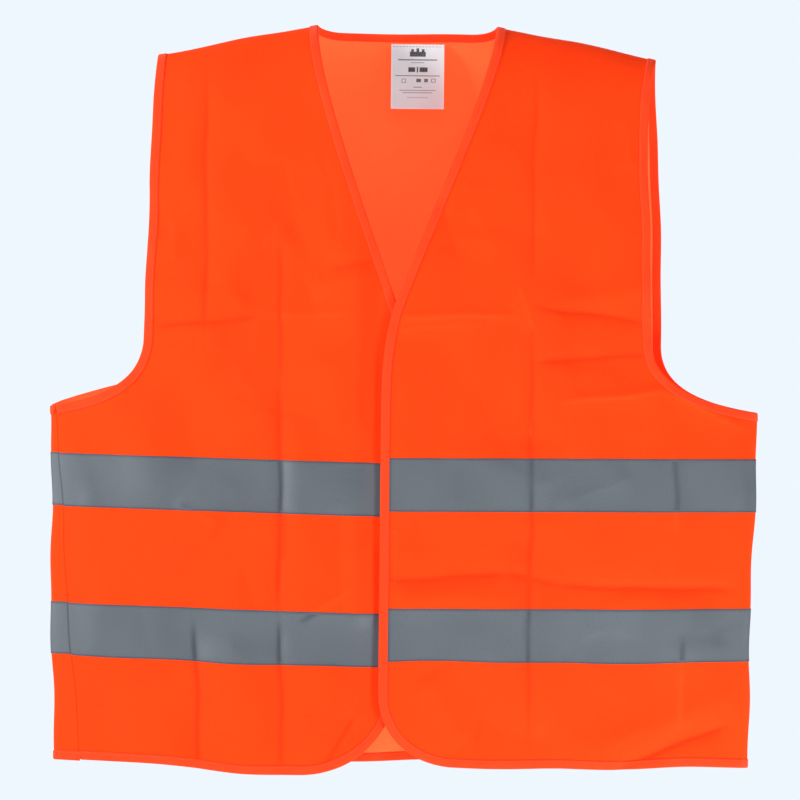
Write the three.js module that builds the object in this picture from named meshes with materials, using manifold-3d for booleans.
// A high visibility vest, standing open as it hangs on a wearer's shoulders.
//
// Millimetres. +Z is up, the front faces -Y and the wearer's left is +X. The origin is the point
// between the shoulders that the neck hangs from. The vest is cut from thin sheets, so every sheet
// is a shell between two copies of one worn shape, trimmed by its flat outline.
//
// Outlines are drawn on the flat, in (u, z): u is the distance from the middle towards the side
// that the piece is on, so that one outline serves both sides of the vest.

import * as THREE from "three";
import { mergeVertices } from "three/addons/utils/BufferGeometryUtils.js";
import Module from "manifold-3d";

const wasm = await Module();
wasm.setup();

// ---- Overall sizes -------------------------------------------------------------------------

const chestHalfWidth = 331.5;
const hemHalfWidth = 325.5;
const hemHeight = -687;
const armpitHeight = -353.5;
const bodyDepth = 35; // how far the front and the back each stand off the middle plane
const shoulderRoll = 70; // the drop over which the cloth rounds over the shoulder
const neckHalfWidth = 84;
const neckPointHeight = 6;
const shoulderHalfWidth = 233.5;
const shoulderSlope = 0.19; // drop for each millimetre outwards
const backNeckHeight = 0;
const backNeckRound = 24; // how much of the back neck's half width is the rise to the shoulder

// ---- Armholes ------------------------------------------------------------------------------

const armholeHalfWidth = 243; // the narrowest part of the body, between the armholes
const armholeTurn = 63; // the armhole starts to turn outwards this far above the armpit
const frontArmholeScoop = 13; // the left front is cut deeper into the armhole than the back
const armholeTopLean = 5.5; // how far outwards the armhole leaves the shoulder
const armholeTurnLean = 1.5; // how far outwards it arrives at its turn
const armholeTurnBulge = 1; // outwards again just under the turn
const armholeTurnReach = 42; // the drop over which the turn keeps its direction
const armholeFloorReach = 46.5; // the run over which the armhole's floor arrives at the armpit
const armholeFloorLift = 7.5;

// ---- Sheets and trims ----------------------------------------------------------------------

const clothThickness = 0.8;
const layerGap = 0.35; // clear space between sheets that lie on each other
const seamGap = 0.3; // clear space between pieces that are sewn edge to edge
const bindingWidth = 8;
const tapeWidth = 50;
const tapeThickness = 0.6;
const lowerTapeRise = 100; // from the hem up to the lower tape
const tapeSpacing = 90.5; // from the lower tape up to the upper tape
const seamAllowance = 10;
const seamThickness = 0.9;
const patchWidth = 14;
const patchHeight = 50;
const patchThickness = 0.8;
const labelWidth = 50;
const labelLength = 61;
const labelThickness = 0.5;
const labelOffset = 10; // the label is sewn a little towards the wearer's left

// ---- The two fronts ------------------------------------------------------------------------
// The left front closes over the right one. edge is the free edge's u: below zero it lies past
// the middle. sag is how much lower the front hangs at its free edge than at its side.

const leftFront = {
  side: 1,
  neckBow: -4,
  neckHang: 30,
  neckEnd: -5,
  neckBottom: -245,
  edge: -20.5,
  cornerRadius: 70,
  hemDrop: 1.5,
  sag: 2,
  scoop: frontArmholeScoop,
};

const rightFront = {
  side: -1,
  neckBow: 0,
  neckHang: 38,
  neckEnd: 5,
  neckBottom: -262,
  edge: 2.5,
  cornerRadius: 90,
  hemDrop: 7.5,
  sag: 7,
  scoop: 0,
};

const neckHangHeight = 95; // the neck edge leaves its lower end along a line this much higher
const neckBowHeight = 51;
const edgeTurn = 105; // the neck edge turns into the front edge over this drop
const overlapDip = 4.4; // the right front steps back this far to pass under the left one
const dipStart = 26; // the step starts and ends this far from the left front's edge
const dipEnd = 2;
const turnLead = 0.28; // how far the neck edge runs on past its lower end before it turns
const hemSlack = 1; // the front hem lifts this much near its corner
const hemLift = 5; // and this much near its side
const neckRoundReach = 10; // the back neck leaves its level part over this run
const neckRiseRun = 3; // and arrives at the neck point along this run
const neckRiseLift = 4; // and this rise

// How many straight steps stand for each curve.
const curveSteps = 8;
const neckSteps = 10;
const shortSteps = 6;
const roundSteps = 4;

// The fold line that each front opens about, in (u, z).
const foldTopU = 64;
const foldTopHeight = -92;
const foldSpread = 0.21; // outwards for each millimetre down

// The right side seam lies on the front, the left one just round on the back.
const rightSeamTop = 5;
const rightSeamBottom = 25;
const leftSeamWrap = 6;

const ringLap = 0.05; // two stretches of one binding run into each other by this much
const far = 100; // past every piece, front and back
const beyond = 30; // past every edge, on the flat
const outermost = chestHalfWidth + beyond;
const lowest = hemHeight - beyond;
const sideOverlap = 1; // the strip that goes round the side starts this far in front of it
const weldDistance = 1e-4; // corners nearer than this are one corner
const noArea = 1e-9;

const shoulderEndHeight = ridgeHeight(shoulderHalfWidth);
const lowerTapeBottom = hemHeight + lowerTapeRise;
const upperTapeBottom = lowerTapeBottom + tapeWidth + tapeSpacing;
const bindingInset = bindingWidth + seamGap;
const halfSeam = seamGap / 2;

// Layers, as distances out from the inner face of the cloth.
const clothLayer = [0, clothThickness];
const tapeLayer = [clothThickness + layerGap, clothThickness + layerGap + tapeThickness];
const bindingLayer = [-layerGap, clothThickness + layerGap];
const seamLayer = [-layerGap - seamThickness, -layerGap];
const hookLayer = [-2 * layerGap - patchThickness, -2 * layerGap];
const loopLayer = [bindingLayer[1] + layerGap, bindingLayer[1] + layerGap + patchThickness];

// ---- Solids --------------------------------------------------------------------------------

// A closed geometry as a solid that can be joined and cut.
function solidOf(geometry) {
  geometry.deleteAttribute("normal");
  geometry.deleteAttribute("uv");
  const merged = mergeVertices(geometry, weldDistance);
  const vertProperties = new Float32Array(merged.attributes.position.array);
  const triVerts = new Uint32Array(merged.index.array);
  return new wasm.Manifold(new wasm.Mesh({ numProp: 3, vertProperties, triVerts }));
}

function geometryOf(solid) {
  const mesh = solid.getMesh();
  const geometry = new THREE.BufferGeometry();
  geometry.setAttribute("position", new THREE.BufferAttribute(mesh.vertProperties, 3));
  geometry.setIndex(new THREE.BufferAttribute(mesh.triVerts, 1));
  return geometry;
}

// A flat outline in (u, z) carried through the vest from yFrom to yTo.
function prism(outline, side, yFrom, yTo) {
  const shape = new THREE.Shape(outline.map((p) => new THREE.Vector2(side * p.x, p.y)));
  const geometry = new THREE.ExtrudeGeometry(shape, { depth: yTo - yFrom, bevelEnabled: false });
  geometry.rotateX(Math.PI / 2);
  geometry.translate(0, yTo, 0);
  return solidOf(geometry);
}

function rectangle(uFrom, uTo, zFrom, zTo) {
  return [at(uFrom, zFrom), at(uTo, zFrom), at(uTo, zTo), at(uFrom, zTo)];
}

// ---- The worn shape ------------------------------------------------------------------------

// The height of the shoulder ridge over a point x across the vest.
function ridgeHeight(x) {
  return neckPointHeight - shoulderSlope * Math.max(0, Math.abs(x) - neckHalfWidth);
}

// The half width of the body, which narrows a little from the armpits to the hem.
function halfWidthAt(height) {
  const down = Math.max(0, (armpitHeight - height) / (armpitHeight - hemHeight));
  return chestHalfWidth + (hemHalfWidth - chestHalfWidth) * down;
}

// How far the right front steps back at x, from nothing to the whole dip, smoothly.
function dipAt(x) {
  const t = THREE.MathUtils.smoothstep(x, leftFront.edge - dipStart, leftFront.edge - dipEnd);
  return overlapDip * t;
}

// The rows of the worn shape: round over the shoulder, then straight down.
const rollSteps = 5;
const rollRows = Array.from({ length: rollSteps + 1 }, (_, i) => {
  return { roll: (i * Math.PI) / 2 / rollSteps };
});
const straightRows = [armpitHeight, lowest].map((height) => ({ roll: Math.PI / 2, height }));
const wornRows = [...rollRows, ...straightRows];

// The columns, as shares of the half width: closest where the side turns, and with one flat
// facet in the middle.
const facetsAcross = 19;
const wornColumns = Array.from({ length: facetsAcross + 1 }, (_, i) => {
  return -Math.cos((i * Math.PI) / facetsAcross);
});
const dipColumns = [0, 0.25, 0.5, 0.75, 1].map((t) => {
  return (leftFront.edge - dipStart + t * (dipStart - dipEnd)) / chestHalfWidth;
});
const steppedColumns = [...wornColumns, ...dipColumns].sort((a, b) => a - b);

// One point of the worn shape moved out by distance: an ellipse across, a quarter ellipse over
// the shoulder. facing is 1 on the back and -1 on the front.
function wornPoint(column, row, distance, facing, dipped) {
  const swell = Math.sqrt(Math.max(0, 1 - column * column));
  const x = column * chestHalfWidth;
  const rolled = ridgeHeight(x) - shoulderRoll + (shoulderRoll + distance) * Math.cos(row.roll);
  const height = row.height ?? rolled;
  const dip = dipped && facing < 0 ? dipAt(x) : 0;
  const depth = (bodyDepth + distance - dip) * swell * Math.sin(row.roll);
  return [column * (halfWidthAt(height) + distance), facing * depth, height];
}

// The solid inside the worn shape, moved out by distance.
function wornSolid(distance, dipped) {
  const columns = dipped ? steppedColumns : wornColumns;
  const positions = [];
  const quad = (a, b, c, d) => positions.push(...a, ...b, ...c, ...a, ...c, ...d);
  for (const facing of [-1, 1]) {
    const point = (i, j) => wornPoint(columns[i], wornRows[j], distance, facing, dipped);
    for (let i = 0; i + 1 < columns.length; i += 1) {
      for (let j = 0; j + 1 < wornRows.length; j += 1) {
        const corners = [point(i, j), point(i, j + 1), point(i + 1, j + 1), point(i + 1, j)];
        quad(...(facing < 0 ? corners : corners.reverse()));
      }
    }
  }
  const last = wornRows[wornRows.length - 1];
  for (let i = 0; i + 1 < columns.length; i += 1) {
    const front = (k) => wornPoint(columns[k], last, distance, -1, dipped);
    const back = (k) => wornPoint(columns[k], last, distance, 1, dipped);
    quad(front(i), back(i), back(i + 1), front(i + 1));
  }
  const geometry = new THREE.BufferGeometry();
  geometry.setAttribute("position", new THREE.Float32BufferAttribute(withoutSlivers(positions), 3));
  return solidOf(geometry);
}

// Drops the triangles that two equal corners leave without an area.
function withoutSlivers(positions) {
  const kept = [];
  for (let i = 0; i < positions.length; i += 9) {
    const corners = [0, 3, 6].map((k) => new THREE.Vector3(...positions.slice(i + k, i + k + 3)));
    if (new THREE.Triangle(...corners).getArea() > noArea) {
      kept.push(...positions.slice(i, i + 9));
    }
  }
  return kept;
}

// A sheet of the worn shape between the two distances of a layer.
function shell(layer, dipped = false) {
  return wornSolid(layer[1], dipped).subtract(wornSolid(layer[0], dipped));
}

// ---- Flat outlines -------------------------------------------------------------------------

function at(u, z) {
  return new THREE.Vector2(u, z);
}

function bezier(a, b, c, d, steps) {
  return new THREE.CubicBezierCurve(a, b, c, d).getPoints(steps);
}

// An open line moved to its left by distance, each corner along the mean of its two sides.
function shifted(line, distance) {
  return line.map((p, i) => {
    const before = line[Math.max(0, i - 1)];
    const after = line[Math.min(line.length - 1, i + 1)];
    const along = after.clone().sub(before).normalize();
    return at(p.x - along.y * distance, p.y + along.x * distance);
  });
}

// The armhole's edge, from above the shoulder to past the armpit.
function armholeEdge(scoop) {
  const turn = at(armholeHalfWidth, armpitHeight + armholeTurn);
  const top = at(shoulderHalfWidth, shoulderEndHeight);
  const end = at(chestHalfWidth, armpitHeight);
  const reach = turn.y - top.y;
  const leaving = at(top.x + armholeTopLean, top.y + reach / 3);
  const arriving = at(turn.x - armholeTurnLean, turn.y - reach / 3);
  const falling = at(turn.x + armholeTurnBulge, turn.y - armholeTurnReach);
  const levelling = at(end.x - armholeFloorReach, end.y + armholeFloorLift);
  const upper = bezier(top, leaving, arriving, turn, curveSteps);
  const lower = bezier(turn, falling, levelling, end, curveSteps);
  const line = [...upper, ...lower.slice(1)].map((p) => {
    const share = (top.y - p.y) / (top.y - end.y);
    return at(p.x - scoop * (1 - (2 * share - 1) ** 4), p.y);
  });
  return [at(top.x, beyond), ...line, at(end.x + beyond, end.y)];
}

// The neck edge, the front edge and the round corner of one front, from above the shoulder.
function freeEdge(front) {
  const top = at(neckHalfWidth, neckPointHeight);
  const low = at(front.neckEnd, front.neckBottom);
  const bow = at(top.x + front.neckBow, top.y - neckBowHeight);
  const hang = at(front.neckHang, low.y + neckHangHeight);
  const neck = bezier(top, bow, hang, low, neckSteps);
  const straight = at(front.edge, low.y - edgeTurn);
  const lead = low.clone().sub(hang).multiplyScalar(turnLead).add(low);
  const turn = bezier(low, lead, at(front.edge, straight.y + edgeTurn / 2), straight, shortSteps);
  const r = front.cornerRadius;
  const bottom = hemHeight - front.hemDrop;
  const corner = new THREE.EllipseCurve(front.edge + r, bottom + r, r, r, Math.PI, 1.5 * Math.PI);
  return [at(top.x, beyond), ...neck, ...turn.slice(1), ...corner.getPoints(curveSteps)];
}

// The hem of one front, from its round corner to past its side.
function frontHem(front) {
  const start = at(front.edge + front.cornerRadius, hemHeight - front.hemDrop);
  const end = at(hemHalfWidth, hemHeight);
  const third = (end.x - start.x) / 3;
  const hang = at(start.x + third, start.y + hemSlack);
  const lift = at(end.x - third, end.y + hemLift);
  return [...bezier(start, hang, lift, end, shortSteps), at(end.x + beyond, end.y)];
}

// The outline of one whole front with its bound edges moved in by inset.
function frontOutline(front, inset) {
  const free = shifted(freeEdge(front), inset);
  const hem = shifted(frontHem(front), inset).slice(1);
  const armhole = shifted(armholeEdge(front.scoop), -inset).reverse();
  return [...free, ...hem, ...armhole];
}

// The back neck's edge, from the middle to above the shoulder.
function backNeckEdge() {
  const rise = at(neckHalfWidth, neckPointHeight);
  const level = at(neckHalfWidth - backNeckRound, backNeckHeight);
  const leaving = at(level.x + neckRoundReach, level.y);
  const arriving = at(rise.x - neckRiseRun, rise.y - neckRiseLift);
  const round = bezier(level, leaving, arriving, rise, roundSteps);
  return [at(0, backNeckHeight), ...round, at(rise.x, beyond)];
}

// Half of the back, which the other half mirrors.
function backOutline(inset) {
  const neck = shifted(backNeckEdge(), -inset);
  const armhole = shifted(armholeEdge(0), -inset);
  const hem = [at(hemHalfWidth + beyond, hemHeight + inset), at(0, hemHeight + inset)];
  return [...neck, ...armhole, ...hem];
}

function wholeBack(inset) {
  const half = backOutline(inset);
  return [...half, ...half.map((p) => at(-p.x, p.y)).reverse()];
}

// ---- Regions, as prisms that trim a shell --------------------------------------------------

// The fold line's u at height z, and the part of a front on either side of it.
function foldU(z) {
  return foldTopU + foldSpread * (foldTopHeight - z);
}

function flapMask(side) {
  const bottom = at(foldU(lowest) - halfSeam, lowest);
  const top = at(foldU(beyond) - halfSeam, beyond);
  return prism([at(-far, beyond), at(-far, lowest), bottom, top], side, -far, 0);
}

function sideMask(side, yTo) {
  const bottom = at(foldU(lowest) + halfSeam, lowest);
  const top = at(foldU(beyond) + halfSeam, beyond);
  return prism([bottom, at(outermost, lowest), at(outermost, beyond), top], side, -far, yTo);
}

// The strip outside the right side seam, which belongs to the back and comes round to the front.
function rightWrap(gap) {
  const top = at(chestHalfWidth - rightSeamTop + gap, armpitHeight);
  const bottom = at(hemHalfWidth - rightSeamBottom + gap, hemHeight);
  const pastHem = (armpitHeight - lowest) / (armpitHeight - hemHeight);
  const drop = bottom.clone().sub(top).multiplyScalar(pastHem).add(top);
  const outline = [top, at(outermost, top.y), at(outermost, drop.y), drop];
  return prism(outline, rightFront.side, -far, far);
}

// The strip outside the left side seam, which belongs to the front and goes round to the back.
function leftWrap(gap) {
  const from = hemHalfWidth - leftSeamWrap + gap;
  const lift = chestHalfWidth - hemHalfWidth;
  const outline = [at(from, lowest), at(outermost, lowest), at(outermost, armpitHeight)];
  const shape = [...outline, at(from + lift, armpitHeight)];
  return prism(shape, leftFront.side, -sideOverlap, far);
}

const leftOutline = prism(frontOutline(leftFront, bindingInset), 1, -far, -halfSeam);
const rightOutline = prism(frontOutline(rightFront, bindingInset), -1, -far, -halfSeam);
const backPrism = prism(wholeBack(bindingInset), 1, halfSeam, far);
const backThrough = prism(wholeBack(bindingInset), 1, -far, far);

const leftReach = prism(frontOutline(leftFront, bindingInset), 1, -far, far).intersect(leftWrap(halfSeam));

const regions = {
  leftFlap: leftOutline.intersect(flapMask(1)),
  leftSide: leftOutline.intersect(sideMask(1, 0)).add(leftReach),
  rightFlap: rightOutline.intersect(flapMask(-1)),
  rightSide: rightOutline.intersect(sideMask(-1, 0)).subtract(rightWrap(-halfSeam)),
  back: backPrism.subtract(leftWrap(-halfSeam)).add(backThrough.intersect(rightWrap(halfSeam))),
};

// The ring of binding round one front, and round the back with the strip that comes forward.
function frontRing(front) {
  const outer = prism(frontOutline(front, 0), front.side, -far, halfSeam);
  return outer.subtract(prism(frontOutline(front, bindingWidth), front.side, -2 * far, far));
}

function backRing() {
  const everything = rectangle(-outermost, outermost, lowest, beyond);
  const behind = prism(everything, 1, -halfSeam, far);
  const outer = prism(wholeBack(0), 1, -far, far).intersect(behind.add(rightWrap(-ringLap)));
  return outer.subtract(prism(wholeBack(bindingWidth), 1, -2 * far, 2 * far));
}

// A tape's band on one front, which hangs a little lower at the free edge, and on the back.
function tapeBand(bottom, side, sag) {
  const low = bottom - (sag * (outermost + far)) / chestHalfWidth;
  const under = [at(-far, low), at(outermost, bottom)];
  const over = [at(outermost, bottom + tapeWidth), at(-far, low + tapeWidth)];
  return prism([...under, ...over], side, -far, far);
}

function backTapeBand(bottom) {
  return prism(rectangle(-outermost, outermost, bottom, bottom + tapeWidth), 1, -far, far);
}

// ---- Pieces --------------------------------------------------------------------------------

const cloth = { color: 0xff5216, roughness: 0.85, metalness: 0 };
const edging = { color: 0xff5a34, roughness: 0.8, metalness: 0 };
const silver = { color: 0x767d85, roughness: 0.45, metalness: 0.2 };
const fastening = { color: 0xf5581e, roughness: 0.95, metalness: 0 };
const paper = { color: 0xd2d2d0, roughness: 0.7, metalness: 0 };

const vest = new THREE.Group();

function addPiece(name, solid, finish) {
  const mesh = new THREE.Mesh(geometryOf(solid), new THREE.MeshStandardMaterial(finish));
  mesh.name = name;
  vest.add(mesh);
}

// The cloth panels.
const clothShell = shell(clothLayer);
const dippedCloth = shell(clothLayer, true);
addPiece("back_panel", clothShell.intersect(regions.back), cloth);
addPiece("left_front_side_panel", clothShell.intersect(regions.leftSide), cloth);
addPiece("left_front_flap_panel", clothShell.intersect(regions.leftFlap), cloth);
addPiece("right_front_side_panel", clothShell.intersect(regions.rightSide), cloth);
addPiece("right_front_flap_panel", dippedCloth.intersect(regions.rightFlap), cloth);

// The reflective tapes, two round the body.
const tapeShell = shell(tapeLayer);
const dippedTape = shell(tapeLayer, true);
for (const [level, bottom] of [["upper", upperTapeBottom], ["lower", lowerTapeBottom]]) {
  const behind = tapeShell.intersect(backTapeBand(bottom));
  const left = tapeShell.intersect(tapeBand(bottom, leftFront.side, leftFront.sag));
  const rightBand = tapeBand(bottom, rightFront.side, rightFront.sag);
  const right = tapeShell.intersect(rightBand);
  const dippedRight = dippedTape.intersect(rightBand);
  addPiece(`back_${level}_tape`, behind.intersect(regions.back), silver);
  addPiece(`left_side_${level}_tape`, left.intersect(regions.leftSide), silver);
  addPiece(`left_flap_${level}_tape`, left.intersect(regions.leftFlap), silver);
  addPiece(`right_side_${level}_tape`, right.intersect(regions.rightSide), silver);
  addPiece(`right_flap_${level}_tape`, dippedRight.intersect(regions.rightFlap), silver);
}

// The edge bindings. The front edge bindings go round the corners to the fold lines.
const bindingShell = shell(bindingLayer);
const leftRing = frontRing(leftFront);
const rightRing = frontRing(rightFront).subtract(rightWrap(0));
const frontRings = leftRing.intersect(sideMask(1, far)).add(rightRing.intersect(sideMask(-1, far)));
const allRings = frontRings.add(backRing());
const bindingOf = (mask) => bindingShell.intersect(allRings.intersect(mask));

const midShoulder = (neckHalfWidth + shoulderHalfWidth) / 2;
const hemMask = prism(rectangle(-outermost, outermost, lowest, lowerTapeBottom), 1, -far, far);
const armholeArea = rectangle(midShoulder, outermost, armpitHeight - beyond, beyond);
const neckArea = rectangle(-midShoulder, midShoulder, armpitHeight - beyond, beyond);

addPiece("neck_binding", bindingOf(prism(neckArea, 1, -far, far)), edging);
addPiece("left_armhole_binding", bindingOf(prism(armholeArea, 1, -far, far)), edging);
addPiece("right_armhole_binding", bindingOf(prism(armholeArea, -1, -far, far)), edging);
addPiece("hem_binding", bindingOf(hemMask), edging);
const dippedBinding = shell(bindingLayer, true);
const leftEdge = bindingShell.intersect(leftRing).intersect(flapMask(1));
const rightEdge = dippedBinding.intersect(rightRing).intersect(flapMask(-1));
addPiece("left_front_edge_binding", leftEdge, edging);
addPiece("right_front_edge_binding", rightEdge, edging);

// The seam allowances, inside the shoulders and the sides.
const seamShell = shell(seamLayer);
const seamTop = armpitHeight - bindingInset;
const seamLow = hemHeight + bindingInset;
for (const [name, side] of [["left", 1], ["right", -1]]) {
  const inner = neckHalfWidth + bindingInset;
  const outer = shoulderHalfWidth - bindingInset;
  const span = rectangle(inner, outer, shoulderEndHeight - beyond, beyond);
  const shoulder = prism(span, side, -seamAllowance / 2, seamAllowance / 2);
  addPiece(`${name}_shoulder_seam`, seamShell.intersect(shoulder), cloth);
}

// The strip of cloth along a side seam that stands inset from the side at its two ends.
function sideSeam(side, topInset, bottomInset, yFrom, yTo) {
  const half = seamAllowance / 2;
  const top = halfWidthAt(seamTop) - topInset;
  const bottom = halfWidthAt(seamLow) - bottomInset;
  const outline = [at(top - half, seamTop), at(bottom - half, seamLow), at(bottom + half, seamLow)];
  return seamShell.intersect(prism([...outline, at(top + half, seamTop)], side, yFrom, yTo));
}

addPiece("left_side_seam", sideSeam(1, leftSeamWrap, leftSeamWrap, 0, far), cloth);
addPiece("right_side_seam", sideSeam(-1, rightSeamTop, rightSeamBottom, -far, 0), cloth);

// The hook patch inside the left front's edge, and the loop patch on the right front under it.
const patchMiddle = (-leftFront.edge + rightFront.edge) / 2;
const patchLow = upperTapeBottom - tapeSpacing / 2 - patchHeight / 2;
const patchSides = [patchMiddle - patchWidth / 2, patchMiddle + patchWidth / 2];
const patchArea = rectangle(...patchSides, patchLow, patchLow + patchHeight);
const patchPrism = prism(patchArea, rightFront.side, -far, 0);
addPiece("hook_patch", shell(hookLayer).intersect(patchPrism), fastening);
addPiece("loop_patch", shell(loopLayer, true).intersect(patchPrism), fastening);

// The back's inner face, at the height z and the distance x from the middle.
function backDepth(x, z) {
  const column = x / chestHalfWidth;
  const points = rollRows.map((row) => wornPoint(column, row, 0, 1, false));
  const next = points.findIndex((p) => p[2] < z);
  const share = (points[next - 1][2] - z) / (points[next - 1][2] - points[next][2]);
  return THREE.MathUtils.lerp(points[next - 1][1], points[next][1], share);
}

// The care label hangs plumb from the neck seam, just clear of the back.
const labelTop = backNeckHeight - bindingInset - seamGap;
const labelReach = labelOffset + labelWidth / 2;
const labelGeometry = new THREE.BoxGeometry(labelWidth, labelThickness, labelLength);
const labelPlane = backDepth(labelReach, labelTop) - layerGap - labelThickness / 2;
const label = new THREE.Mesh(labelGeometry, new THREE.MeshStandardMaterial(paper));
label.name = "care_label";
label.position.set(labelOffset, labelPlane, labelTop - labelLength / 2);
vest.add(label);

export default vest;
